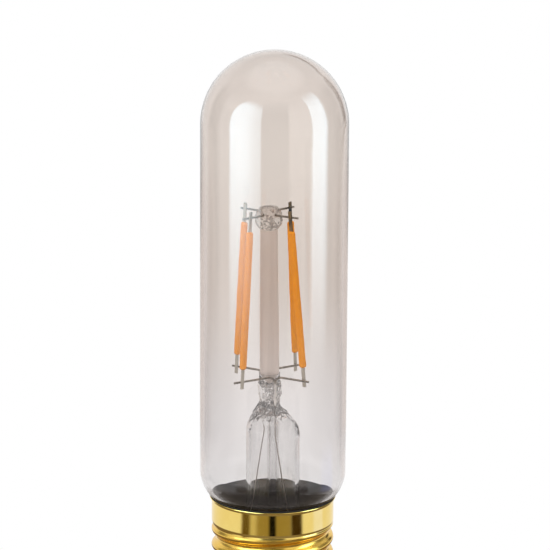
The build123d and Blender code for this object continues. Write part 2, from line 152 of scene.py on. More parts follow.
class BulbMount(bpy.types.PropertyGroup):
    """Glass rod, bead, wires and filaments."""

    offset: length("Offset", "Mount's place right of the cap's axis", -0.8)
    lean: angle("Lean", "Lean of the mount to the right", -0.5)
    collar_height: length("Collar height", "Height of the collar of glass round the rod's point", 2.2)
    collar_wall: length("Collar wall", "Glass of the collar round the rod", 0.15)
    rod_foot: length("Rod foot", "Diameter of the rod at its foot", 4.2)
    rod_head: length("Rod head", "Diameter of the rod in the bead", 3.7)
    rod_point: length("Rod point", "Length of the rod's point", 2.8)
    rod_tip: length("Rod tip", "Diameter of the point's end", 0.7)
    bead_diameter: length("Bead", "Diameter of the bead", 6.0)
    bead_equator: length("Bead equator", "Height of the bead's widest level above its foot", 2.1)
    bead_wrinkle: length("Bead wrinkle", "Depth of the unevenness of the bead", 0.06)
    rod_tint: tone("Rod tint", "Colour of the smoky rod", (0.71, 0.65, 0.61))
    bead_tint: tone("Bead tint", "Colour of the bead's glass", (0.93, 0.92, 0.905))
    coat: tone("Coat", "Colour of the filament's coat", (0.83, 0.285, 0.002))
    coat_light: tone("Coat light", "Colour of the coat's lighter grains", (0.89, 0.35, 0.004))
    coat_width: length("Coat width", "Width of a filament's coat", 1.5)
    coat_depth: length("Coat depth", "Depth of a filament's coat", 1.2)
    coat_round: length("Coat round", "Round of the coat's ends", 0.6)
    coat_wave: length("Coat wave", "Unevenness of the coat", 0.07)


class BulbStage(bpy.types.PropertyGroup):
    """Floor, light and camera."""

    camera_height: length("Aim height", "Height on the axis that the camera aims at", 75.9)
    camera_distance: length("Distance", "From the aim to the camera", 682.4)
    camera_aside: length("Aside", "Camera's place right of the axis", 0.245)
    camera_pitch: angle("Pitch", "How far down the camera looks", 13.5)
    camera_roll: angle("Roll", "Turn of the picture", 0.32)
    focal_pixels: share("Focal length in pixels", "Of a picture 550 pixels wide", 3200.0)
    picture_pixels: share("Picture width", "Width of the picture in pixels", 550.0)
    ambient: share("Ambient", "World light on matt surfaces", 0.52)
    key_power: share("Key power", "Power of the left lamp in watts", 3.8)
    fill_power: share("Fill power", "Power of the right lamp in watts", 2.4)
    top_power: share("Top power", "Power of the lamp above in watts", 1.7)


# Mesh helpers


def smooth_step(value):
    """0 below 0, 1 above 1 and a smooth rise between."""
    value = min(1.0, max(0.0, value))
    return value * value * (3 - 2 * value)


def arc(centre, radius, start, end, count):
    """Points of an arc in a radius and height plane, ends included, angles in radians."""
    points = []
    for i in range(count + 1):
        turn = start + (end - start) * i / count
        points.append((centre[0] + radius * math.cos(turn), centre[1] + radius * math.sin(turn)))
    return points


def straight(start, end, count):
    """Points from after the start to the end."""
    points = []
    for i in range(1, count + 1):
        points.append(tuple(a + (b - a) * i / count for a, b in zip(start, end)))
    return points


def ring(radius, z, segments):
    """Level round ring, or one point on the axis."""
    if radius < ON_AXIS:
        return [Vector((0, 0, z))]
    points = []
    for k in range(segments):
        turn = math.tau * k / segments
        points.append(Vector((radius * math.cos(turn), radius * math.sin(turn), z)))
    return points


def rings_along(profile, segments):
    """Level rings along a profile of radius and height."""
    return [ring(radius, z, segments) for radius, z in profile]


def put_in_scene(name, data):
    """Object of a mesh, lamp or camera, in the scene."""
    piece = bpy.data.objects.new(name, data)
    bpy.context.scene.collection.objects.link(piece)
    return piece


def skin(name, rings, loop=False, sharp=math.radians(50)):
    """Closed smooth mesh through rings of points. A ring of one point closes an end."""
    points = []
    starts = []
    for level in rings:
        starts.append(len(points))
        points.extend(level)
    pairs = list(zip(range(len(rings) - 1), range(1, len(rings))))
    if loop:
        pairs.append((len(rings) - 1, 0))
    faces = []
    for a, b in pairs:
        count = max(len(rings[a]), len(rings[b]))
        for k in range(count):
            after = (k + 1) % count
            if len(rings[a]) == 1:
                faces.append((starts[a], starts[b] + k, starts[b] + after))
            elif len(rings[b]) == 1:
                faces.append((starts[a] + k, starts[b], starts[a] + after))
            else:
                faces.append((starts[a] + k, starts[b] + k, starts[b] + after, starts[a] + after))
    mesh = bpy.data.meshes.new(name)
    mesh.from_pydata(points, [], faces)
    work = bmesh.new()
    work.from_mesh(mesh)
    bmesh.ops.recalc_face_normals(work, faces=work.faces)
    work.to_mesh(mesh)
    work.free()
    mesh.shade_smooth()
    mesh.set_sharp_from_angle(angle=sharp)
    return put_in_scene(name, mesh)


def lathe(name, profile, segments, loop=False, shape=None, sharp=math.radians(50)):
    """Turned piece from a profile of radius and height. The shape may move each point."""
    rings = rings_along(profile, segments)
    if shape:
        rings = [[shape(point) for point in level] for level in rings]
    return skin(name, rings, loop, sharp)


def finish_piece(piece, material, slot, *nodes):
    """Gives a piece its material and puts it in the place of its nodes. The slot is not used."""
    piece.data.materials.append(material)
    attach(piece, "root")
    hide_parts(*nodes)


def dress(material, *nodes):
    """Gives nodes of the frame a material."""
    for node in nodes:
        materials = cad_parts[node].data.materials
        materials.clear()
        materials.append(material)


# Material helpers


# Range in which most of a noise's values lie
MOST = (0.3, 0.7)
# Factors that take the height out of a place
LEVEL = (1.0, 1.0, 0.0)


def grey(level):
    """Neutral tone."""
    return (level, level, level)


def new_material(name):
    """Material with its node tree and its shader."""
    material = bpy.data.materials.new(name)
    material.use_nodes = True
    tree = material.node_tree
    return material, tree, tree.nodes["Principled BSDF"]


def place_on(tree, space="Object"):
    """Place on a piece, or another of its coordinates."""
    return tree.nodes.new("ShaderNodeTexCoord").outputs[space]


def ray(tree, fact):
    """What is known of the ray that looks at a surface."""
    return tree.nodes.new("ShaderNodeLightPath").outputs[fact]


def axis_of(tree, vector, axis):
    """One number of a vector."""
    split = tree.nodes.new("ShaderNodeSeparateXYZ")
    tree.links.new(vector, split.inputs["Vector"])
    return split.outputs[axis]


def grain(tree, scale, stretch=(1, 1, 1), detail=4.0):
    """Noise in the piece's own space, from 0 to 1."""
    mapping = tree.nodes.new("ShaderNodeMapping")
    mapping.inputs["Scale"].default_value = stretch
    speckle = tree.nodes.new("ShaderNodeTexNoise")
    speckle.inputs["Scale"].default_value = scale
    speckle.inputs["Detail"].default_value = detail
    tree.links.new(place_on(tree), mapping.inputs["Vector"])
    tree.links.new(mapping.outputs["Vector"], speckle.inputs["Vector"])
    return speckle.outputs["Fac"]


def spread(tree, value, source, target=(0.0, 1.0)):
    """A value mapped smoothly from one range to another."""
    node = tree.nodes.new("ShaderNodeMapRange")
    node.interpolation_type = "SMOOTHSTEP"
    tree.links.new(value, node.inputs["Value"])
    node.inputs["From Min"].default_value, node.inputs["From Max"].default_value = source
    node.inputs["To Min"].default_value, node.inputs["To Max"].default_value = target
    return node.outputs["Result"]


def height(tree, low, high):
    """Share of the way from a low to a high level."""
    return spread(tree, axis_of(tree, place_on(tree), "Z"), (low, high))


def feed(tree, socket, value):
    """Links a socket, or sets it to a plain number or colour."""
    if isinstance(value, bpy.types.NodeSocket):
        tree.links.new(value, socket)
    elif isinstance(value, (int, float)):
        socket.default_value = value
    else:
        socket.default_value = (*value, 1.0)


def between(tree, factor, low, high):
    """Colour between two colours."""
    node = tree.nodes.new("ShaderNodeMix")
    node.data_type = "RGBA"
    feed(tree, node.inputs[0], factor)
    feed(tree, node.inputs[6], low)
    feed(tree, node.inputs[7], high)
    return node.outputs[2]


def reckon(tree, operation, first, second):
    """Result of a sum on two values, either of them a plain number."""
    node = tree.nodes.new("ShaderNodeMath")
    node.operation = operation
    feed(tree, node.inputs[0], first)
    feed(tree, node.inputs[1], second)
    return node.outputs["Value"]


def times(tree, first, second):
    """Product of two values."""
    return reckon(tree, "MULTIPLY", first, second)


def off(tree, value, middle):
    """How far a value is from a middle."""
    return reckon(tree, "ABSOLUTE", reckon(tree, "SUBTRACT", value, middle), 0.0)


def vector_sum(tree, operation, first, second=None):
    """Result of a sum on vectors, the second of them linked or plain."""
    node = tree.nodes.new("ShaderNodeVectorMath")
    node.operation = operation
    tree.links.new(first, node.inputs[0])
    if isinstance(second, bpy.types.NodeSocket):
        tree.links.new(second, node.inputs[1])
    elif second:
        node.inputs[1].default_value = second
    is_number = operation in ("LENGTH", "DISTANCE", "DOT_PRODUCT")
    return node.outputs["Value" if is_number else "Vector"]


def bump(tree, shader, value, strength, distance):
    """Relief on a shader from a height."""
    node = tree.nodes.new("ShaderNodeBump")
    node.inputs["Strength"].default_value = strength
    node.inputs["Distance"].default_value = distance
    tree.links.new(value, node.inputs["Height"])
    tree.links.new(node.outputs["Normal"], shader.inputs["Normal"])


def show_both(tree, factor, first, second):
    """Puts two shaders on the surface, the second one by a factor."""
    mix = tree.nodes.new("ShaderNodeMixShader")
    tree.links.new(factor, mix.inputs["Fac"])
    tree.links.new(first.outputs[0], mix.inputs[1])
    tree.links.new(second.outputs[0], mix.inputs[2])
    tree.links.new(mix.outputs["Shader"], tree.nodes["Material Output"].inputs["Surface"])


def make_glass(tree, shader, clearness=1.0, rough=0.0, ior=1.5):
    """Turns a shader into glass that casts no solid shadow."""
    shader.inputs["Transmission Weight"].default_value = clearness
    shader.inputs["Roughness"].default_value = rough
    shader.inputs["IOR"].default_value = ior
    clear = tree.nodes.new("ShaderNodeBsdfTransparent")
    show_both(tree, ray(tree, "Is Shadow Ray"), shader, clear)


# Materials


# Levels from and to which the envelope's tint changes
SHOULDER_ZONE = (28 * MM, 34 * MM)
TUBE_ZONE = (40 * MM, 78 * MM)
DOME_ZONE = (100 * MM, 117 * MM)
# Near-black tone of the brass's inner faces: the cement baked on to them, darkened further as painted shade
# inside the cap
CEMENT_AND_SHADE_TONE = (0.014, 0.012, 0.011)
BAKED_ROUGHNESS = 0.8

# Darker and lighter tone, scale of the grain, roughness from and to, and relief in millimetres
MATT_FINISHES = {
    "black_cap_glass": ((0.012, 0.012, 0.014), (0.03, 0.03, 0.033), 400, (0.08, 0.2), 0.04),
    "baked_cement": ((0.008, 0.007, 0.007), (0.024, 0.021, 0.02), 900, (0.7, 0.95), 0.2),
    "dark_cup_plastic": ((0.010, 0.008, 0.0075), (0.022, 0.017, 0.016), 700, (0.45, 0.65), 0.05),
    "coated_board": ((0.010, 0.009, 0.009), (0.03, 0.026, 0.024), 500, (0.4, 0.6), 0.04),
    "chip_plastic": ((0.01, 0.01, 0.01), (0.025, 0.025, 0.026), 1200, (0.4, 0.6), 0.03),
    "resistor_ceramic": ((0.42, 0.47, 0.38), (0.56, 0.61, 0.5), 1100, (0.35, 0.6), 0.04),
}
# The same, and the stretch of the grain, which makes streaks where the metal is drawn
METAL_FINISHES = {
    "contact_brass": ((0.62, 0.52, 0.36), (0.78, 0.70, 0.55), 500, (0.25, 0.42), 0.03, (1, 1, 1)),
    "lead_wire_metal": ((0.62, 0.57, 0.52), (0.82, 0.76, 0.70), 1600, (0.3, 0.5), 0.01, (1, 1, 0.4)),
    # The tab steel is paler than bare steel: a painted highlight for the lit screens that the tabs would
    # mirror
    "tab_steel": ((0.80, 0.74, 0.62), (0.95, 0.91, 0.80), 1200, (0.28, 0.45), 0.02, (1, 1, 0.3)),
    "burnt_tab_steel": ((0.03, 0.024, 0.018), (0.42, 0.30, 0.12), 420, (0.3, 0.5), 0.02, (1, 1, 1)),
    "drawn_can": ((0.5, 0.5, 0.52), (0.68, 0.68, 0.7), 900, (0.25, 0.4), 0.02, (0.1, 1, 1)),
}
MATT_BUMP = 0.4
METAL_BUMP = 0.3
COAT_BUMP = 0.25


def envelope_glass(glass):
    """Clear blown glass with a warm tint that is stronger towards the dome."""
    material, tree, shader = new_material("blown_envelope_glass")
    tint = between(tree, height(tree, *SHOULDER_ZONE), glass.neck_tint, glass.lower_tint)
    tint = between(tree, height(tree, *TUBE_ZONE), tint, glass.upper_tint)
    tint = between(tree, height(tree, *DOME_ZONE), tint, glass.dome_tint)
    tree.links.new(tint, shader.inputs["Base Color"])
    make_glass(tree, shader)
    smoke = tree.nodes.new("ShaderNodeVolumeAbsorption")
    smoke.inputs["Color"].default_value = (*glass.smoke, 1.0)
    smoke.inputs["Density"].default_value = glass.smoke_density
    tree.links.new(smoke.outputs["Volume"], tree.nodes["Material Output"].inputs["Volume"])
    return material


def stem_glass(glass):
    """Clear drawn glass with faint cords of a darker tint."""
    material, tree, shader = new_material("drawn_stem_glass")
    cords = spread(tree, grain(tree, 700, (1, 1, 0.12)), (0.42, 0.66))
    darker = [0.94 * value for value in glass.stem_tint]
    tree.links.new(between(tree, cords, glass.stem_tint, darker), shader.inputs["Base Color"])
    make_glass(tree, shader)
    return material


def rod_glass(mount):
    """Smoky glass that blurs what lies behind it, with streaks along the rod."""
    material, tree, shader = new_material("smoky_rod_glass")
    streaks = spread(tree, grain(tree, 900, (1, 1, 0.015), 2.0), (0.35, 0.65))
    paler = [1.12 * value for value in mount.rod_tint]
    tree.links.new(between(tree, streaks, mount.rod_tint, paler), shader.inputs["Base Color"])
    make_glass(tree, shader, clearness=0.55, rough=0.32, ior=1.45)
    return material


def bead_glass(mount):
    """Clear melted glass with a faint uneven tint, smoky at its head."""
    material, tree, shader = new_material("melted_bead_glass")
    patches = spread(tree, grain(tree, 1500), (0.4, 0.7))
    darker = [0.85 * value for value in mount.bead_tint]
    clear = between(tree, patches, mount.bead_tint, darker)
    top_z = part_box("rod_bead")[1].z
    head = height(tree, top_z - 2.4 * MM, top_z - 1.4 * MM)
    tree.links.new(between(tree, head, clear, mount.rod_tint), shader.inputs["Base Color"])
    make_glass(tree, shader)
    return material


def grained(name, low, high, scale, rough, relief, strength, stretch=(1, 1, 1), patches=MOST):
    """Material and shader with a grain between two tones and two roughnesses, and a little relief."""
    material, tree, shader = new_material(name)
    speckle = grain(tree, scale, stretch)
    tree.links.new(between(tree, spread(tree, speckle, patches), low, high), shader.inputs["Base Color"])
    tree.links.new(spread(tree, speckle, MOST, rough), shader.inputs["Roughness"])
    bump(tree, shader, speckle, strength, relief * MM)
    return material, shader


def matt(name):
    """Plastic, ceramic, cement or black glass from its row of the table."""
    return grained(name, *MATT_FINISHES[name], MATT_BUMP)[0]


def metal(name):
    """Metal from its row of the table."""
    *finish, stretch = METAL_FINISHES[name]
    material, shader = grained(name, *finish, METAL_BUMP, stretch)
    shader.inputs["Metallic"].default_value = 1.0
    return material


def phosphor_coat(mount):
    """Soft orange coat with lighter grains and next to no gloss."""
    finish = (mount.coat, mount.coat_light, 2600, (0.38, 0.55), 0.03)
    material, shader = grained("phosphor_coat", *finish, COAT_BUMP, patches=(0.35, 0.7))
    shader.inputs["Specular IOR Level"].default_value = 0.04
    return material


def shell_brass(cap):
    """Bright brass outside, and dark inside: baked cement with painted shade."""
    material, tree, shader = new_material("bright_brass")
    outward = vector_sum(tree, "NORMALIZE", vector_sum(tree, "MULTIPLY", place_on(tree), LEVEL))
    facing = vector_sum(tree, "DOT_PRODUCT", outward, place_on(tree, "Normal"))
    # Faces turned towards the axis get the near-black tone: painted shade inside the cap, over the baked
    # cement
    inside = spread(tree, facing, (-0.55, -0.15), (1.0, 0.0))
    patches = spread(tree, grain(tree, 240), MOST)
    bright = between(tree, patches, cap.brass_shade, cap.brass)
    # Below the skirt the thread gets the deeper brass: a painted reflection of the dark ground that the
    # crests mirror
    skirt_z = SHELL_HIGH.z - cap.skirt_height
    on_skirt = height(tree, skirt_z - 0.8 * MM, skirt_z + 0.2 * MM)
    bright = between(tree, on_skirt, cap.thread_brass_with_painted_shade, bright)
    tree.links.new(between(tree, inside, bright, CEMENT_AND_SHADE_TONE), shader.inputs["Base Color"])
    polish = spread(tree, patches, (0.0, 1.0), (0.09, 0.13))
    duller = spread(tree, on_skirt, (0.0, 1.0), (0.1, 0.0))
    rough = tree.nodes.new("ShaderNodeMix")
    feed(tree, rough.inputs[0], inside)
    feed(tree, rough.inputs[2], reckon(tree, "ADD", polish, duller))
    feed(tree, rough.inputs[3], BAKED_ROUGHNESS)
    tree.links.new(rough.outputs[0], shader.inputs["Roughness"])
    shader.inputs["Metallic"].default_value = 1.0
    return material


def out_of_pinch(tree):
    """0 on what is sealed into the pinch's glass, 1 above it."""
    return height(tree, STEM_HIGH.z - 2.5 * MM, STEM_HIGH.z - 1.0 * MM)


def out_of_bead(tree):
    """0 on what is sealed into the bead's glass, 1 beside it."""
    low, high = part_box("rod_bead")
    middle = (low + high) / 2
    radius = 0.8 * (high.x - low.x) / 2
    level = vector_sum(tree, "MULTIPLY", place_on(tree), LEVEL)
    away = vector_sum(tree, "DISTANCE", level, (middle.x, middle.y, 0.0))
    return spread(tree, away, (radius - 0.2 * MM, radius + 0.1 * MM))


def sealed_wire(name, out_of_glass, pale):
    """Drawn wire that turns pale where it is sealed into glass."""
    material, tree, shader = new_material(name)
    patches = spread(tree, grain(tree, 1400), MOST)
    drawn = between(tree, patches, (0.30, 0.27, 0.23), (0.60, 0.55, 0.49))
    bare = out_of_glass(tree)
    tree.links.new(between(tree, bare, pale, drawn), shader.inputs["Base Color"])
    tree.links.new(bare, shader.inputs["Metallic"])
    shader.inputs["Roughness"].default_value = 0.4
    return material


# Blown envelope


# Height where the wall starts to thicken above the neck or to thin towards the dome, and over what height
THICK_FROM, THICK_OVER = 29 * MM, 9 * MM
THIN_FROM, THIN_OVER = 78 * MM, 46 * MM
# Waves in the blown wall: the height they end at, waves per metre, and how drawn out they are
RIPPLE_TOP = 100 * MM
RIPPLE_SCALE = 130
RIPPLE_STRETCH = 0.35
DOME_STEPS, TUBE_STEPS, SHOULDER_STEPS, FILLET_STEPS, NECK_STEPS = 56, 40, 24, 16, 4


def envelope_profile(glass, inset):
    """Radius and height from the dome's top to the neck's end, at a depth in the wall."""
    shoulder = glass.shoulder_radius
    fillet = glass.neck_fillet
    neck_r = STEM_HIGH.x
    rim_r = SHELL_HIGH.x - bpy.context.scene.bulb_cap.sheet - glass.lip_clearance
    turn_at_rim = math.acos(1 - (TUBE_R - rim_r) / shoulder)
    start_z = SHELL_HIGH.z + shoulder * math.sin(turn_at_rim)
    reach = shoulder + fillet
    turn = math.acos(1 - (TUBE_R - neck_r) / reach)
    neck_z = start_z - reach * math.sin(turn)
    profile = arc((0, GLASS_HIGH.z - TUBE_R), TUBE_R - inset, math.pi / 2, 0, DOME_STEPS)
    profile[0] = (0.0, profile[0][1])
    profile += straight(profile[-1], (TUBE_R - inset, start_z), TUBE_STEPS)
    profile += arc((TUBE_R - shoulder, start_z), shoulder - inset, 0, -turn, SHOULDER_STEPS)[1:]
    fillet_centre = (neck_r + fillet, neck_z)
    profile += arc(fillet_centre, fillet + inset, math.pi - turn, math.pi, FILLET_STEPS)[1:]
    profile += straight(profile[-1], (neck_r - inset, GLASS_LOW.z), NECK_STEPS)
    return profile


class BulbEnvelope(bpy.types.Operator):
    """Blown glass tube with a round dome, a shoulder and an open neck"""

    bl_idname = "bulb.envelope"
    bl_label = "Glass envelope"

    def execute(self, context):
        glass = context.scene.bulb_glass
        outer = envelope_profile(glass, 0.0)
        thin = envelope_profile(glass, glass.wall)
        inner = []
        for (outer_r, outer_z), (inner_r, inner_z) in zip(outer, thin):
            thicker = smooth_step((outer_z - THICK_FROM) / THICK_OVER)
            thinner = smooth_step((outer_z - THIN_FROM) / THIN_OVER)
            wall = glass.wall + (glass.tube_wall - glass.wall) * thicker
            wall += (glass.dome_wall - glass.tube_wall) * thinner
            part = wall / glass.wall
            inner.append((outer_r + (inner_r - outer_r) * part, outer_z + (inner_z - outer_z) * part))

        def blown(point):
            """Gentle waves on the inner face of the tube."""
            across = math.hypot(point.x, point.y)
            if across > TUBE_R - glass.dome_wall or not SHELL_HIGH.z <= point.z <= RIPPLE_TOP:
                return point
            wave = noise.noise(Vector((point.x, point.y, point.z * RIPPLE_STRETCH)) * RIPPLE_SCALE)
            return point + Vector((point.x, point.y, 0)) / across * wave * glass.ripple

        piece = lathe("blown_envelope", outer + inner[::-1], segments=192, shape=blown)
        finish_piece(piece, envelope_glass(glass), "envelope_glass", "glass_envelope")
        return {"FINISHED"}


# Screw cap


# Share of the run-out over which the thread fades into the skirt
FADE_SHARE = 0.6
LIP_STEPS, EDGE_STEPS, SKIRT_STEPS, THREAD_STEPS, TOE_STEPS = 8, 6, 48, 110, 8


def thread_radius(cap, z, turn, inset):
    """Radius of the rolled thread at a height and an angle.

    Its round grooves and crests fade at both ends.
    """
    major_r = cap.thread_diameter / 2
    minor_r = major_r - cap.thread_depth
    quarter = cap.thread_pitch / 4
    round_r = (cap.thread_depth**2 / 4 + quarter**2) / cap.thread_depth
    skirt_z = SHELL_HIGH.z - cap.skirt_height
    toe_z = SHELL_LOW.z + cap.toe_radius
    turns = (z - skirt_z + cap.thread_runout) / cap.thread_pitch - turn / math.tau
    from_groove = cap.thread_pitch * abs(turns - round(turns))
    if from_groove <= quarter * (round_r + inset) / round_r:
        radius = minor_r + round_r - math.sqrt((round_r + inset) ** 2 - from_groove**2)
    else:
        from_crest = cap.thread_pitch / 2 - from_groove
        radius = major_r - round_r + math.sqrt((round_r - inset) ** 2 - from_crest**2)
    crest = major_r - inset
    root = minor_r - inset
    faded = crest - (crest - radius) * smooth_step((skirt_z - z) / (FADE_SHARE * cap.thread_runout))
    return root + (faded - root) * smooth_step((z - toe_z) / cap.thread_toe_runout)


def rolled_line(cap, z):
    """Depth of the line rolled into the sheet where the skirt ends."""
    away = (z - SHELL_HIGH.z + cap.skirt_height) / cap.line_width
    return cap.line_depth * math.exp(-away * away)


def shell_rings(cap, inset, segments):
    """Rings down one face of the sheet: lip, skirt, thread and toe."""
    major_r = cap.thread_diameter / 2
    toe_r = major_r - cap.thread_depth - cap.toe_radius
    skirt_z = SHELL_HIGH.z - cap.skirt_height
    toe_z = SHELL_LOW.z + cap.toe_radius
    lip_z = SHELL_HIGH.z - cap.lip_height
    edge = cap.sheet / 2
    flare = SHELL_HIGH.x - major_r
    rings = []
    for i in range(LIP_STEPS + 1):
        rise = 1 - i / LIP_STEPS
        lip_r = major_r - inset + flare * rise**2
        rings.append(ring(lip_r, lip_z + (cap.lip_height - edge) * rise, segments))
    for i in range(1, SKIRT_STEPS + 1):
        z = lip_z + (skirt_z - lip_z) * i / SKIRT_STEPS
        rings.append(ring(major_r - inset - rolled_line(cap, z), z, segments))
    for i in range(1, THREAD_STEPS + 1):
        z = skirt_z + (toe_z - skirt_z) * i / THREAD_STEPS
        level = []
        for k in range(segments):
            turn = math.tau * k / segments
            radius = thread_radius(cap, z, turn, inset) - rolled_line(cap, z)
            level.append(Vector((radius * math.cos(turn), radius * math.sin(turn), z)))
        rings.append(level)
    toe = arc((toe_r, toe_z), cap.toe_radius - inset, 0, -math.pi / 2, TOE_STEPS)[1:]
    toe.append((toe_r - cap.toe_return, SHELL_LOW.z + inset))
    return rings + rings_along(toe, segments)


class BulbShell(bpy.types.Operator):
    """Brass sheet shell with a flared lip, a smooth skirt, a rolled thread and a turned-in toe"""

    bl_idname = "bulb.shell"
    bl_label = "Screw shell"

    def execute(self, context):
        cap = context.scene.bulb_cap
        segments = 200
        edge = cap.sheet / 2
        outer = shell_rings(cap, 0.0, segments)
        inner = shell_rings(cap, cap.sheet, segments)
        lip_centre = (SHELL_HIGH.x - edge, SHELL_HIGH.z - edge)
        lip = rings_along(arc(lip_centre, edge, math.pi, 0, EDGE_STEPS)[1:-1], segments)
        piece = skin("brass_shell", outer + inner[::-1] + lip, loop=True)
        finish_piece(piece, shell_brass(cap), "cap_brass", "screw_shell")
        return {"FINISHED"}


class BulbCapFittings(bpy.types.Operator):
    """Black glass insulator, centre contact and the cement in the skirt"""

    bl_idname = "bulb.cap_fittings"
    bl_label = "Cap fittings"

    def execute(self, context):
        dress(matt("black_cap_glass"), "insulator")
        dress(metal("contact_brass"), "centre_contact")
        glass = context.scene.bulb_glass
        cap = context.scene.bulb_cap
        gap = 0.04 * MM
        bead = 0.1 * MM
        bead_z = SHELL_HIGH.z + 0.4 * MM
        edge = cap.sheet / 2
        low_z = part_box("capping_cement")[0].z
        lip_z = SHELL_HIGH.z - cap.lip_height
        skirt_r = cap.thread_diameter / 2 - cap.sheet - gap
        lip_r = SHELL_HIGH.x - cap.sheet - gap
        on_glass = [point for point in envelope_profile(glass, -gap) if low_z < point[1] < bead_z]
        squeezed = [point for point in on_glass if point[1] > SHELL_HIGH.z]
        profile = squeezed + [point for point in on_glass if point[1] < SHELL_HIGH.z and point[0] < lip_r]
        profile += [(profile[-1][0], low_z), (skirt_r, low_z), (skirt_r, lip_z)]
        profile += [(lip_r, SHELL_HIGH.z - edge), (lip_r + gap, SHELL_HIGH.z)]
        profile += [(lip_r + gap + edge, SHELL_HIGH.z + gap)]
        profile += [(radius + bead, z) for radius, z in squeezed[::-1]]
        cement = lathe("cement_ring", profile, segments=96, loop=True)
        finish_piece(cement, matt("baked_cement"), "cement", "capping_cement")
        return {"FINISHED"}


# Stem


# Share of the gather where the wrinkles start, and the share over which they deepen
WRINKLE_START, WRINKLE_RISE = 0.35, 0.45
# Folds and dimples per metre, across and along the stem, and the dimples' share
FOLDS = Vector((1300, 1300, 800))
DIMPLES = Vector((2600, 2600, 1500))
DIMPLE_SHARE = 0.35
# How roundly the hollow's end runs into the bore
HOLLOW_ROUND = 1.15
FLARE_STEPS, STEM_TUBE_STEPS, HOLLOW_STEPS, GATHER_STEPS = 28, 12, 12, 100
# Radius left at a bubble's poles, and the distance within which such points are merged
POLE_R, MERGE = 1e-8, 1e-7
PINCH_BUBBLES = 46


def between_levels(levels, z):
    """Smooth curve through rows of a height and values, at a height."""
    last = len(levels) - 1
    i = 0
    while i < last - 1 and z > levels[i + 1][0]:
        i += 1
    low, high = levels[i], levels[i + 1]
    before, after = levels[max(i - 1, 0)], levels[min(i + 2, last)]
    step = high[0] - low[0]
    part = (z - low[0]) / step
    values = []
    for column in range(1, len(low)):
        leave = (high[column] - before[column]) / (high[0] - before[0]) * step
        arrive = (after[column] - low[column]) / (after[0] - low[0]) * step
        a, b = low[column], high[column]
        values.append(
            a * (1 + 2 * part) * (1 - part) ** 2
            + leave * part * (1 - part) ** 2
            + b * part**2 * (3 - 2 * part)
            - arrive * part**2 * (1 - part)
        )
    return values


def stem_heights(glass):
    """Heights of the seal, the flare's end, the stem tube's end, the pinch's waist and its top."""
    seal_z = STEM_LOW.z + glass.stem_wall
    turn_z = seal_z + glass.flare_height
    tube_z = turn_z + glass.stem_tube_length
    waist_z = tube_z + glass.gather_height
    return seal_z, turn_z, tube_z, waist_z, waist_z + glass.pinch_height


def mount_matrix(context):
    """Place of the filament mount, on the pinch, a little off the axis and leaning."""
    mount = context.scene.bulb_mount
    top_z = stem_heights(context.scene.bulb_glass)[-1]
    return Matrix.Translation((mount.offset, 0, top_z)) @ Matrix.Rotation(mount.lean, 4, "Y")


def add_bubbles(piece, places, sizes, stretch, seed):
    """Air bubbles inside a glass piece at given places, drawn out along the axis."""
    draw = random.Random(seed)
    points = []
    faces = []
    levels, around = 8, 14
    for place in places:
        radius = draw.uniform(*sizes)
        tall = radius * draw.uniform(*stretch)
        first = len(points)
        for i in range(levels + 1):
            turn = math.pi * i / levels
            for point in ring(max(radius * math.sin(turn), POLE_R), tall * math.cos(turn), around):
                points.append(point + Vector(place))
        for i in range(levels):
            for k in range(around):
                here = first + i * around + k
                beside = first + i * around + (k + 1) % around
                faces.append((here, beside, beside + around, here + around))
    air = bpy.data.meshes.new("air")
    air.from_pydata(points, [], faces)
    air.shade_smooth()
    work = bmesh.new()
    work.from_mesh(piece.data)
    work.from_mesh(air)
    bmesh.ops.dissolve_degenerate(work, edges=work.edges, dist=MERGE)
    work.to_mesh(piece.data)
    work.free()
    bpy.data.meshes.remove(air)


def flare_curve(glass):
    """Centre and radius of the flare's outer curve."""
    tube_r = glass.stem_tube_diameter / 2
    across = STEM_HIGH.x - glass.wall - tube_r
    radius = (across**2 + glass.flare_height**2) / (2 * across)
    return (tube_r + radius, stem_heights(glass)[1]), radius


def stem_inside(glass):
    """Inner face of the stem, from the hollow's end to the flare's foot."""
    _, turn_z, tube_z, waist_z, _ = stem_heights(glass)
    bore_r = glass.stem_tube_diameter / 2 - glass.stem_wall
    exhaust_r = glass.exhaust_diameter / 2
    hollow_z = waist_z - glass.hollow_floor
    profile = [(0.0, hollow_z), (exhaust_r, hollow_z)]
    for i in range(1, HOLLOW_STEPS + 1):
        bend = i / HOLLOW_STEPS * math.pi / 2
        reach = exhaust_r + (bore_r - exhaust_r) * math.sin(bend) ** HOLLOW_ROUND
        profile.append((reach, hollow_z - (hollow_z - tube_z) * (1 - math.cos(bend))))
    profile += straight((bore_r, tube_z), (bore_r, turn_z), STEM_TUBE_STEPS)
    centre, radius = flare_curve(glass)
    under_r = radius + glass.stem_wall
    turn = math.asin((glass.flare_height + glass.stem_wall) / under_r)
    return profile + arc(centre, under_r, math.pi, math.pi + turn, FLARE_STEPS)[1:]


def stem_outside(glass):
    """Outer face of the stem, from the flare's foot to the tube's end."""
    seal_z, turn_z, tube_z, _, _ = stem_heights(glass)
    tube_r = glass.stem_tube_diameter / 2
    neck_r = STEM_HIGH.x
    profile = [(neck_r, STEM_LOW.z), (neck_r, seal_z), (neck_r - glass.wall, seal_z)]
    centre, radius = flare_curve(glass)
    turn = math.asin(glass.flare_height / radius)
    profile += arc(centre, radius, math.pi + turn, math.pi, FLARE_STEPS)[1:]
    return profile + straight((tube_r, turn_z), (tube_r, tube_z), STEM_TUBE_STEPS)


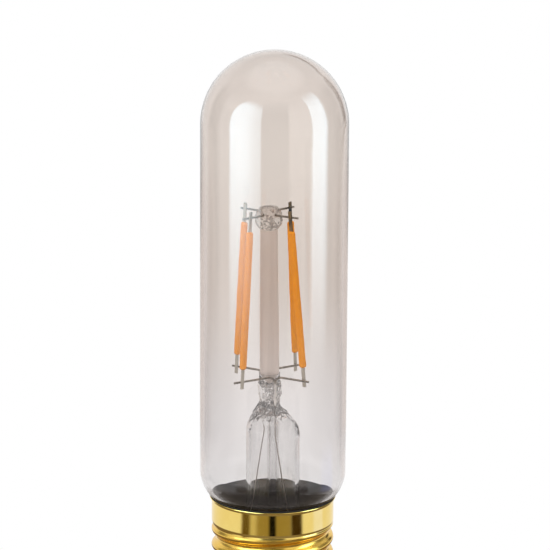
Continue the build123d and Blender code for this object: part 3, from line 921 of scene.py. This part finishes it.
def pinch_rings(glass, mount, segments):
    """Rings of the gathered and wrinkled glass, from the stem tube's end to the pinch's top."""
    _, _, tube_z, waist_z, top_z = stem_heights(glass)
    tube_r = glass.stem_tube_diameter / 2
    half_length = glass.pinch_length / 2
    half_thickness = glass.pinch_thickness / 2
    mid_length = 0.5 * half_length + 0.5 * tube_r
    mid_thickness = 0.5 * half_thickness + 0.5 * tube_r
    gather = glass.gather_height
    swell = glass.pinch_swell
    # Height, share of the mount's offset, and half the long and the short way across
    levels = [
        (tube_z, 0.0, tube_r, tube_r),
        (tube_z + 0.22 * gather, 0.2, tube_r * 0.97, tube_r * 0.955),
        (tube_z + 0.63 * gather, 0.63, mid_length, mid_thickness),
        (waist_z, 1.0, half_length, half_thickness),
        (waist_z + 0.5 * glass.pinch_height, 1.0, half_length + swell, half_thickness + swell),
        (top_z - 0.4 * swell, 1.0, half_length + swell, half_thickness + swell),
    ]
    crossways = Matrix.Rotation(glass.pinch_azimuth, 2)
    rings = []
    for i in range(1, GATHER_STEPS + 1):
        z = tube_z + (levels[-1][0] - tube_z) * i / GATHER_STEPS
        shift, along, aside = between_levels(levels, z)
        depth = smooth_step(((z - tube_z) / gather - WRINKLE_START) / WRINKLE_RISE) * glass.pinch_wrinkle
        level = []
        for k in range(segments):
            turn = math.tau * k / segments - glass.pinch_azimuth
            flat = crossways @ Vector((along * math.cos(turn), aside * math.sin(turn)))
            point = Vector((shift * mount.offset + flat.x, flat.y, z))
            out = point - Vector((mount.offset, 0, z))
            wrinkle = noise.noise(point * FOLDS) + DIMPLE_SHARE * noise.noise(point * DIMPLES)
            level.append(point + out.normalized() * depth * wrinkle)
        rings.append(level)
    return rings


def collar_profile(mount):
    """Collar of glass round the rod's point, and the seat in it."""
    tall = mount.collar_height
    collar_r = mount.rod_foot / 2 + mount.collar_wall
    seat_r = mount.rod_foot / 2 + GAP
    seat_z = tall - mount.rod_point - GAP
    collar = [(1.12 * collar_r, 0.05 * tall), (collar_r, 0.3 * tall), (collar_r, tall)]
    return collar + [(seat_r, tall), (seat_r, 0.5 * tall), (0.9 * seat_r, seat_z), (0.0, seat_z)]


def exhaust_profile(glass):
    """Tube with a pointed foot: up its bore and down its outer face."""
    low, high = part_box("exhaust_tube")
    outer_r = glass.exhaust_diameter / 2
    bore_r = glass.exhaust_bore / 2
    taper_z = low.z + glass.exhaust_diameter
    top_z = high.z - GAP
    profile = [(0.0, taper_z)] + straight((0.0, taper_z), (bore_r, taper_z + bore_r), 4)
    profile += straight(profile[-1], (bore_r, top_z), 30)
    profile += [(outer_r, top_z)]
    profile += straight(profile[-1], (outer_r, taper_z), 16)
    profile += straight(profile[-1], (bore_r / 2, low.z), 5)
    return profile + [(0.0, low.z)]


class BulbStem(bpy.types.Operator):
    """Glass stem: flare, tube and wrinkled pinch in one piece, with the exhaust tube inside it"""

    bl_idname = "bulb.stem"
    bl_label = "Glass stem"

    def execute(self, context):
        glass = context.scene.bulb_glass
        mount = context.scene.bulb_mount
        segments = 176
        place = mount_matrix(context)
        rings = rings_along(stem_inside(glass) + stem_outside(glass), segments)
        rings += pinch_rings(glass, mount, segments)
        for level in rings_along(collar_profile(mount), segments):
            rings.append([place @ point for point in level])
        piece = skin("stem_glass", rings)

        waist_z, top_z = stem_heights(glass)[-2:]
        crossways = Matrix.Rotation(glass.pinch_azimuth, 2)
        draw = random.Random(11)
        streaks = []
        for _ in range(PINCH_BUBBLES):
            along = draw.uniform(-0.8, 0.8) * glass.pinch_length / 2
            aside = draw.uniform(-0.6, 0.6) * glass.pinch_thickness / 2
            spot = crossways @ Vector((along, aside))
            z = draw.uniform(waist_z - 1.4 * MM, top_z - 0.8 * MM)
            streaks.append((mount.offset + spot.x, spot.y, z))
        add_bubbles(piece, streaks, (0.18 * MM, 0.40 * MM), (0.9, 1.8), 5)
        clear = stem_glass(glass)
        finish_piece(piece, clear, "stem_glass", "stem_flare")
        exhaust = lathe("exhaust_glass", exhaust_profile(glass), segments=48, sharp=math.radians(20))
        finish_piece(exhaust, clear, "stem_glass", "exhaust_tube")
        return {"FINISHED"}


# Filament mount


# Unevenness of the bead per metre, coarse and fine, the fine one's share, and how far it lies inwards
COARSE_MELT, FINE_MELT = 1500, 3100
FINE_SHARE = 0.6
MELT_INWARD = 0.75
# Shares of the bead's lower and upper arc that are kept, and its number of bubbles
LOWER_ARC, UPPER_ARC = 0.97, 0.95
BEAD_BUBBLES = 70
# Shape of the coats: how boxy a section is, and how the ends close
COAT_BOXY = 3.2
COAT_END, COAT_CLOSE = 2.6, 0.4
COAT_LEVELS, COAT_AROUND = 120, 32
# Unevenness of the coats: waves per metre and round a section, step between coats, and how far inwards
COAT_WAVES, SECTION_WAVES = 420, 0.8
COAT_STEP = 9.0
COAT_INWARD = 0.3
# Filaments whose upper tab is burnt
BURNT = (1, 4)


class BulbRod(bpy.types.Operator):
    """Smoky glass rod with a pointed foot, and the clear bead melted on to its head"""

    bl_idname = "bulb.rod"
    bl_label = "Rod and bead"

    def execute(self, context):
        mount = context.scene.bulb_mount
        place = mount_matrix(context)
        base_z = place.translation.z
        foot_r = mount.rod_foot / 2
        head_r = mount.rod_head / 2
        dip = head_r * abs(math.sin(mount.lean))
        top_z = (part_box("support_rod")[1].z - base_z) / math.cos(mount.lean) - dip
        low_z = (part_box("rod_bead")[0].z - base_z) + dip
        tip_z = mount.collar_height - mount.rod_point

        profile = [(0.0, tip_z), (mount.rod_tip / 2, tip_z)]
        profile += straight(profile[-1], (foot_r, mount.collar_height), 6)
        profile += straight(profile[-1], (head_r, low_z), 24)
        profile += [(0.0, low_z)]
        rod = lathe("smoky_rod", profile, segments=64)
        rod.data.transform(place)
        finish_piece(rod, rod_glass(mount), "rod_glass", "support_rod")

        widest = mount.bead_diameter / 2
        swell = widest - head_r
        equator_z = low_z + mount.bead_equator
        rise = top_z - equator_z
        lower = (mount.bead_equator**2 + swell**2) / (2 * swell)
        upper = (rise**2 + swell**2) / (2 * swell)
        low_turn = LOWER_ARC * math.asin(mount.bead_equator / lower)
        high_turn = UPPER_ARC * math.asin(rise / upper)
        profile = [(0.0, low_z + GAP), (0.5 * head_r, low_z + GAP)]
        profile += arc((widest - lower, equator_z), lower, -low_turn, 0, 24)
        profile += arc((widest - upper, equator_z), upper, 0, high_turn, 20)[1:]
        profile += [(0.6 * head_r, top_z), (0.0, top_z)]

        def melted(point):
            """Uneven skin of the bead."""
            out = Vector((point.x, point.y, 0.5 * (point.z - equator_z)))
            if out.length < 0.5 * head_r:
                return point
            wave = noise.noise(point * COARSE_MELT) + FINE_SHARE * noise.noise(point * FINE_MELT)
            return point + out.normalized() * (wave - MELT_INWARD) * mount.bead_wrinkle

        bead = lathe("melted_bead", profile, segments=96, shape=melted)
        draw = random.Random(7)
        bubbles = []
        for _ in range(BEAD_BUBBLES):
            turn = draw.uniform(0, math.tau)
            across = draw.uniform(0.3 * MM, widest - 0.5 * MM)
            z = draw.uniform(low_z + 0.6 * MM, equator_z + 0.9 * MM)
            bubbles.append((across * math.cos(turn), across * math.sin(turn), z))
        add_bubbles(bead, bubbles, (0.10 * MM, 0.24 * MM), (1.0, 1.0), 3)
        bead.data.transform(place)
        finish_piece(bead, bead_glass(mount), "bead_glass", "rod_bead")
        return {"FINISHED"}


class BulbWires(bpy.types.Operator):
    """Upper wires, lead wires and the thin outer leads"""

    bl_idname = "bulb.wires"
    bl_label = "Wires"

    def execute(self, context):
        upper = sealed_wire("upper_wire_steel", out_of_bead, (0.6, 0.57, 0.54))
        dress(upper, "right_upper_wire", "left_upper_wire")
        lower = sealed_wire("lead_wire_steel", out_of_pinch, (0.86, 0.82, 0.78))
        dress(lower, "back_lead_wire", "front_lead_wire")
        thin = metal("lead_wire_metal")
        dress(thin, "back_outer_lead", "front_outer_lead", "live_wire", "neutral_wire")
        return {"FINISHED"}


def corners(node):
    """Points of a node's mesh, and their middle."""
    points = [vertex.co.copy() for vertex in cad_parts[node].data.vertices]
    return points, sum(points, Vector()) / len(points)


def soft_coat(mount, number):
    """Soft coat round a filament's strip, with round ends and gently uneven sides."""
    tab, foot = corners(f"filament_{number}_lower_tab")
    head = corners(f"filament_{number}_upper_tab")[1]
    along = (head - foot).normalized()
    flat = [point - foot - (point - foot).project(along) for point in tab]
    edges = [point - flat[0] for point in flat if (point - flat[0]).length > 0.01 * MM]
    depthwise = min(edges, key=lambda edge: edge.length).normalized()
    widthwise = along.cross(depthwise)
    spans = [(point - foot).dot(along) for point in corners(f"filament_{number}_coat")[0]]
    low, high = min(spans), max(spans)
    rings = [[foot + along * low]]
    for i in range(1, COAT_LEVELS):
        level = low + (high - low) * 0.5 * (1 - math.cos(math.pi * i / COAT_LEVELS))
        from_end = min(level - low, high - level, mount.coat_round) / mount.coat_round
        full = (1 - (1 - from_end) ** COAT_END) ** COAT_CLOSE
        section = []
        for k in range(COAT_AROUND):
            turn = math.tau * k / COAT_AROUND
            wide, deep = math.cos(turn), math.sin(turn)
            boxy = (abs(wide) ** COAT_BOXY + abs(deep) ** COAT_BOXY) ** (-1 / COAT_BOXY)
            aside = number * COAT_STEP + wide * SECTION_WAVES
            place = Vector((aside, deep * SECTION_WAVES, level * COAT_WAVES))
            swell = mount.coat_wave * (noise.noise(place) - COAT_INWARD)
            wide *= (mount.coat_width / 2 + swell) * boxy * full
            deep *= (mount.coat_depth / 2 + swell) * boxy * full
            section.append(foot + along * level + widthwise * wide + depthwise * deep)
        rings.append(section)
    rings.append([foot + along * high])
    return skin(f"soft_coat_{number}", rings, sharp=math.pi)


class BulbFilaments(bpy.types.Operator):
    """Four filaments: a strip with a soft orange coat and a metal tab at each end"""

    bl_idname = "bulb.filaments"
    bl_label = "Filaments"

    def execute(self, context):
        mount = context.scene.bulb_mount
        coat = phosphor_coat(mount)
        tab = metal("tab_steel")
        burnt = metal("burnt_tab_steel")
        for number in range(1, 5):
            finish_piece(soft_coat(mount, number), coat, "filament_coat", f"filament_{number}_coat")
            dress(tab, f"filament_{number}_lower_tab")
            dress(burnt if number in BURNT else tab, f"filament_{number}_upper_tab")
        return {"FINISHED"}


class BulbDriver(bpy.types.Operator):
    """Insulating cup, driver board and the parts under it"""

    bl_idname = "bulb.driver"
    bl_label = "Driver"

    def execute(self, context):
        dress(matt("dark_cup_plastic"), "insulating_cup")
        dress(matt("coated_board"), "driver_board")
        dress(matt("chip_plastic"), "rectifier", "driver_chip")
        dress(metal("drawn_can"), "smoothing_capacitor")
        dress(matt("resistor_ceramic"), "fuse_resistor")
        return {"FINISHED"}


# Stage


def brown(level):
    """Tone that turns brown as it darkens, like what bright brass shows."""
    return (level, level**1.2, level**2)


# Screens that glass and brass mirror: middle azimuth, half-width and soft edge in degrees, and tone
BACK_TONE = (0.87, 0.81, 0.775)
BACK_SCREENS = ((180, 30, 20, BACK_TONE), (-180, 30, 20, BACK_TONE))
HIGH_SCREENS = ((0, 20, 6, grey(0.15)), (107, 14, 14, grey(0.25)), (-110, 8, 12, grey(0.3)))
LOW_SCREENS = ((0, 40, 20, grey(0.95)), (100, 25, 28, grey(0.55)), (-98, 20, 28, grey(0.38)))
# Painted shadow of the cap on the floor next to its foot, as the glass and brass mirror it
MIRRORED_FOOT_SHADOW = ((0, 35, 30, (0.28, 0.24, 0.21)),)
SIDE_SCREENS = ((34, 8, 7, grey(0.45)), (53, 3, 4, grey(0.1)))
FLAGS = ((139, 4, 6, grey(0.0)),)
INNER_SCREENS = ((-97, 8, 8, grey(0.05)), (-131, 5, 6, grey(0.1)), (82, 8, 10, grey(0.1)))
CAP_SCREENS = (
    (-36, 10, 8, brown(0.66)),
    (3, 26, 10, brown(0.35)),
    (-48, 4, 8, brown(0.14)),
    (0, 3, 6, brown(0.0)),
    (43, 7, 7, brown(0.05)),
    (90, 8, 8, (1.03, 1.12, 1.7)),
)
# Rise of the level bar, as the sine of its elevation
BAR_RISE = 0.455
# A ray that has crossed more faces of glass than this comes from inside the bulb
INSIDE_FACES = 2.5
# Cool tone of the lit cards, and how far they stand from the bulb
CARD_TONE = (0.88, 1.14, 1.3)
CARD_DISTANCE = 0.20


def clear_sight(tree):
    """1 for camera and transmission rays that nothing has mirrored or scattered."""
    seen = reckon(tree, "MAXIMUM", ray(tree, "Is Camera Ray"), ray(tree, "Is Transmission Ray"))
    bounces = reckon(tree, "ADD", ray(tree, "Diffuse Depth"), ray(tree, "Glossy Depth"))
    return times(tree, seen, reckon(tree, "LESS_THAN", bounces, 0.5))


def mirrored_sight(tree):
    """1 for rays that the glass or the brass has mirrored and nothing has scattered."""
    mirrored = reckon(tree, "GREATER_THAN", ray(tree, "Glossy Depth"), 0.5)
    return times(tree, mirrored, reckon(tree, "LESS_THAN", ray(tree, "Diffuse Depth"), 0.5))


def sight_through(tree, faces):
    """1 for rays that have crossed more faces of glass than a number."""
    return reckon(tree, "GREATER_THAN", ray(tree, "Transmission Depth"), faces)


def azimuth(tree, vector):
    """Degrees right of the camera's side, from -180 to 180."""
    forward = times(tree, axis_of(tree, vector, "Y"), -1.0)
    turn = reckon(tree, "ARCTAN2", axis_of(tree, vector, "X"), forward)
    return times(tree, turn, math.degrees(1.0))


def banded(tree, turn, bands, plain):
    """Colour of the surroundings at an azimuth: plain, with a soft-edged band for each screen."""
    tone_there = plain
    for middle, half_width, soft, screen in bands:
        inside = spread(tree, off(tree, turn, middle), (half_width, half_width + soft), (1.0, 0.0))
        tone_there = between(tree, inside, tone_there, screen)
    return tone_there


def level_bar(tree, turn, rise):
    """1 on the dark bar that runs level from the upright flag towards the back."""
    bar = spread(tree, off(tree, rise, BAR_RISE), (0.02, 0.07), (1.0, 0.0))
    bar = times(tree, bar, spread(tree, turn, (138.0, 146.0)))
    return times(tree, bar, spread(tree, turn, (168.0, 179.0), (1.0, 0.0)))


def white_world(stage):
    """White surroundings to look at, with a dimmer light on matt surfaces.

    In what is mirrored they show the studio's screens, its ceiling and the light above, and to rays from
    inside the bulb a painted shade.
    """
    world = bpy.data.worlds.new("white_studio")
    world.use_nodes = True
    tree = world.node_tree
    direction = place_on(tree, "Generated")
    turn = azimuth(tree, direction)
    rise = axis_of(tree, direction, "Z")
    screens = banded(tree, turn, HIGH_SCREENS, grey(0.95))
    screens = between(tree, spread(tree, rise, (0.4, 0.65)), screens, grey(0.62))
    screens = between(tree, spread(tree, rise, (0.75, 0.93)), screens, grey(1.35))
    flagged = banded(tree, turn, FLAGS, screens)
    screens = between(tree, spread(tree, rise, (0.38, 0.47), (1.0, 0.0)), screens, flagged)
    screens = between(tree, level_bar(tree, turn, rise), screens, grey(0.0))
    # Rays from inside the bulb that look up see painted shade, a dark tone that keeps the inner reflections
    # dark, with a painted highlight from the light above
    inner_shade_and_top_light = between(tree, spread(tree, rise, (0.72, 0.86)), (0.2, 0.18, 0.17), grey(1.8))
    inside = times(tree, sight_through(tree, INSIDE_FACES), spread(tree, rise, (0.1, 0.35)))
    screens = between(tree, inside, screens, inner_shade_and_top_light)
    colour = between(tree, mirrored_sight(tree), grey(stage.ambient), screens)
    colour = between(tree, clear_sight(tree), colour, grey(1.0))
    tree.links.new(colour, tree.nodes["Background"].inputs["Color"])
    bpy.context.scene.world = world


def glowing_material(name):
    """Material with its node tree and a glow that lights nothing."""
    material, tree, shader = new_material(name)
    material.cycles.emission_sampling = "NONE"
    tree.nodes.remove(shader)
    return material, tree, tree.nodes.new("ShaderNodeEmission")


def white_floor():
    """Pale floor that keeps the shadow round the cap and is white further out.

    In what is mirrored it shows the studio's screens, in rings round the cap, and next to the cap's foot a
    painted shadow of the cap.
    """
    bpy.ops.mesh.primitive_grid_add(x_subdivisions=1, y_subdivisions=1, size=8.0, location=(0, 0, -GAP))
    floor = bpy.context.active_object
    floor.name = "studio_floor"
    material, tree, glow = glowing_material("white_floor")
    place = place_on(tree)
    reach = vector_sum(tree, "LENGTH", place)
    turn = azimuth(tree, place)

    def outwards(start, end, target=(0.0, 1.0)):
        """Change between two distances from the cap."""
        return spread(tree, reach, (start, end), target)

    far = banded(tree, turn, HIGH_SCREENS, grey(0.95))
    leaning = reckon(tree, "ADD", turn, outwards(0.40, 0.75, (18.0, 0.0)))
    flagged = banded(tree, leaning, FLAGS, far)
    far = between(tree, outwards(0.44, 0.56), banded(tree, turn, BACK_SCREENS, far), flagged)
    far = between(tree, outwards(0.40, 0.47, (1.0, 0.0)), far, banded(tree, turn, SIDE_SCREENS, far))
    inside = times(tree, sight_through(tree, INSIDE_FACES), outwards(0.38, 0.48))
    far = between(tree, inside, far, banded(tree, turn, INNER_SCREENS, far))

    # Next to the cap's foot the mirrored floor is a painted shadow of the cap: brown, and darker in front
    foot = banded(tree, turn, MIRRORED_FOOT_SHADOW, (0.22, 0.17, 0.11))
    near = between(tree, outwards(0.05, 0.07), foot, banded(tree, turn, CAP_SCREENS, grey(0.98)))
    behind = spread(tree, off(tree, turn, 0.0), (85, 115))
    through = between(tree, behind, (0.5, 0.455, 0.42), grey(0.85))
    near = between(tree, sight_through(tree, 0.5), near, through)

    middle = banded(tree, turn, LOW_SCREENS + BACK_SCREENS, grey(0.92))
    screens = between(tree, outwards(0.125, 0.16), near, middle)
    screens = between(tree, outwards(0.19, 0.34), screens, far)
    mirrored = mirrored_sight(tree)
    tree.links.new(between(tree, mirrored, grey(1.0), screens), glow.inputs["Color"])
    matt_white = tree.nodes.new("ShaderNodeBsdfDiffuse")
    matt_white.inputs["Color"].default_value = (*grey(0.88), 1.0)
    white = times(tree, clear_sight(tree), outwards(0.015, 0.045, (0.5, 1.0)))
    show_both(tree, reckon(tree, "MAXIMUM", white, mirrored), matt_white, glow)
    floor.data.materials.append(material)


def reflected_card(name, degrees, width, top, hook, rounds, strengths, fades):
    """Upright lit card that only shows in reflections, at an azimuth in degrees right of the camera's side.

    Its head hooks out to the left. Rounds are the radii of its upper left and right corner. Its strength
    runs from its left to its right edge. Fades are the shares of it over which it dies out at its left,
    right, lower and upper edge.
    """
    mesh = bpy.data.meshes.new(name)
    half = width / 2
    left_r, right_r = rounds
    outline = [(-half, 0), (half, 0)]
    outline += arc((half - right_r, top - right_r), right_r, 0, math.pi / 2, 16)
    outline += arc((left_r - half - hook, top - left_r), left_r, math.pi / 2, math.pi, 16)
    if hook:
        outline.append((-half, 0.7 * top))
    mesh.from_pydata([(x, 0, z) for x, z in outline], [], [range(len(outline))])
    card = put_in_scene(name, mesh)
    turn = math.radians(degrees)
    card.location = (CARD_DISTANCE * math.sin(turn), -CARD_DISTANCE * math.cos(turn), 0)
    card.rotation_euler = (0, 0, turn)
    material, tree, glow = glowing_material(name)
    place = place_on(tree, "Generated")
    shown = reckon(tree, "SUBTRACT", 1.0, sight_through(tree, INSIDE_FACES))
    shown = times(tree, mirrored_sight(tree), shown)
    left, right, low, high = fades
    for axis, start, end in (("X", left, right), ("Z", low, high)):
        along = axis_of(tree, place, axis)
        shown = times(tree, shown, spread(tree, along, (0.0, start)))
        shown = times(tree, shown, spread(tree, along, (1.0 - end, 1.0), (1.0, 0.0)))
    glow.inputs["Color"].default_value = (*CARD_TONE, 1.0)
    strength = spread(tree, axis_of(tree, place, "X"), (0.4, 1.0), strengths)
    tree.links.new(strength, glow.inputs["Strength"])
    show_both(tree, shown, tree.nodes.new("ShaderNodeBsdfTransparent"), glow)
    mesh.materials.append(material)
    card.visible_shadow = False
    card.visible_diffuse = False


def soft_lamp(name, location, size, power):
    """Square area lamp that faces the middle of the bulb and doesn't show in reflections."""
    data = bpy.data.lights.new(name, "AREA")
    data.size = size
    data.energy = power
    lamp = put_in_scene(name, data)
    lamp.location = location
    aim = Vector((0, 0, 0.06)) - Vector(location)
    lamp.rotation_euler = aim.to_track_quat("-Z", "Y").to_euler()
    lamp.visible_glossy = False
    lamp.visible_transmission = False
    lamp.visible_camera = False


class BulbStudio(bpy.types.Operator):
    """White floor and surroundings, lamps, reflected cards and the camera"""

    bl_idname = "bulb.studio"
    bl_label = "Studio"

    def execute(self, context):
        stage = context.scene.bulb_stage
        context.scene.view_settings.view_transform = "Standard"
        white_world(stage)
        white_floor()
        soft_lamp("key_lamp", (-0.45, -0.42, 0.40), 0.4, stage.key_power)
        soft_lamp("fill_lamp", (0.55, -0.20, 0.35), 0.4, stage.fill_power)
        soft_lamp("top_lamp", (0.0, -0.05, 0.75), 0.5, stage.top_power)
        reflected_card(
            "left_softbox",
            degrees=-46,
            width=0.203,
            top=0.29,
            hook=0.0,
            rounds=(0.17, 0.03),
            strengths=(4.6, 2.4),
            fades=(0.06, 0.06, 0.22, 0.25),
        )
        reflected_card(
            "right_softbox",
            degrees=75,
            width=0.115,
            top=0.335,
            hook=0.03,
            rounds=(0.01, 0.13),
            strengths=(4.0, 4.2),
            fades=(0.12, 0.22, 0.19, 0.42),
        )

        camera_data = bpy.data.cameras.new("photo_camera")
        camera_data.sensor_width = 36.0
        camera_data.lens = stage.focal_pixels / stage.picture_pixels * camera_data.sensor_width
        camera_data.clip_start = 0.01
        camera_data.clip_end = 50.0
        camera = put_in_scene("photo_camera", camera_data)
        back = stage.camera_distance * math.cos(stage.camera_pitch)
        up = stage.camera_height + stage.camera_distance * math.sin(stage.camera_pitch)
        look = Matrix.Rotation(math.pi / 2 - stage.camera_pitch, 4, "X")
        look = look @ Matrix.Rotation(stage.camera_roll, 4, "Z")
        camera.matrix_world = Matrix.Translation((stage.camera_aside, -back, up)) @ look
        context.scene.camera = camera
        return {"FINISHED"}


# Panel and registration


OPERATORS = (
    BulbEnvelope,
    BulbShell,
    BulbCapFittings,
    BulbStem,
    BulbRod,
    BulbWires,
    BulbFilaments,
    BulbDriver,
    BulbStudio,
)
SETTINGS = {"bulb_glass": BulbGlass, "bulb_cap": BulbCap, "bulb_mount": BulbMount, "bulb_stage": BulbStage}


class BulbPanel(bpy.types.Panel):
    """Pieces and settings of the bulb"""

    bl_idname = "VIEW3D_PT_bulb"
    bl_label = "Light bulb"
    bl_space_type = "VIEW_3D"
    bl_region_type = "UI"
    bl_category = "Bulb"

    def draw(self, context):
        for operator in OPERATORS:
            self.layout.operator(operator.bl_idname)
        for name in SETTINGS:
            group = getattr(context.scene, name)
            box = self.layout.box()
            for key in group.bl_rna.properties.keys():
                if key not in ("rna_type", "name"):
                    box.prop(group, key)


def register():
    """Adds the settings, operators and panel to Blender."""
    for group in (*SETTINGS.values(), *OPERATORS, BulbPanel):
        bpy.utils.register_class(group)
    for name, group in SETTINGS.items():
        setattr(bpy.types.Scene, name, PointerProperty(type=group))


def unregister():
    """Takes them out again."""
    for name in SETTINGS:
        delattr(bpy.types.Scene, name)
    for group in reversed((*SETTINGS.values(), *OPERATORS, BulbPanel)):
        bpy.utils.unregister_class(group)


def main():
    """Builds every piece and the studio."""
    register()
    bpy.ops.bulb.envelope()
    bpy.ops.bulb.shell()
    bpy.ops.bulb.cap_fittings()
    bpy.ops.bulb.stem()
    bpy.ops.bulb.rod()
    bpy.ops.bulb.wires()
    bpy.ops.bulb.filaments()
    bpy.ops.bulb.driver()
    bpy.ops.bulb.studio()


if __name__ == "__main__":
    main()
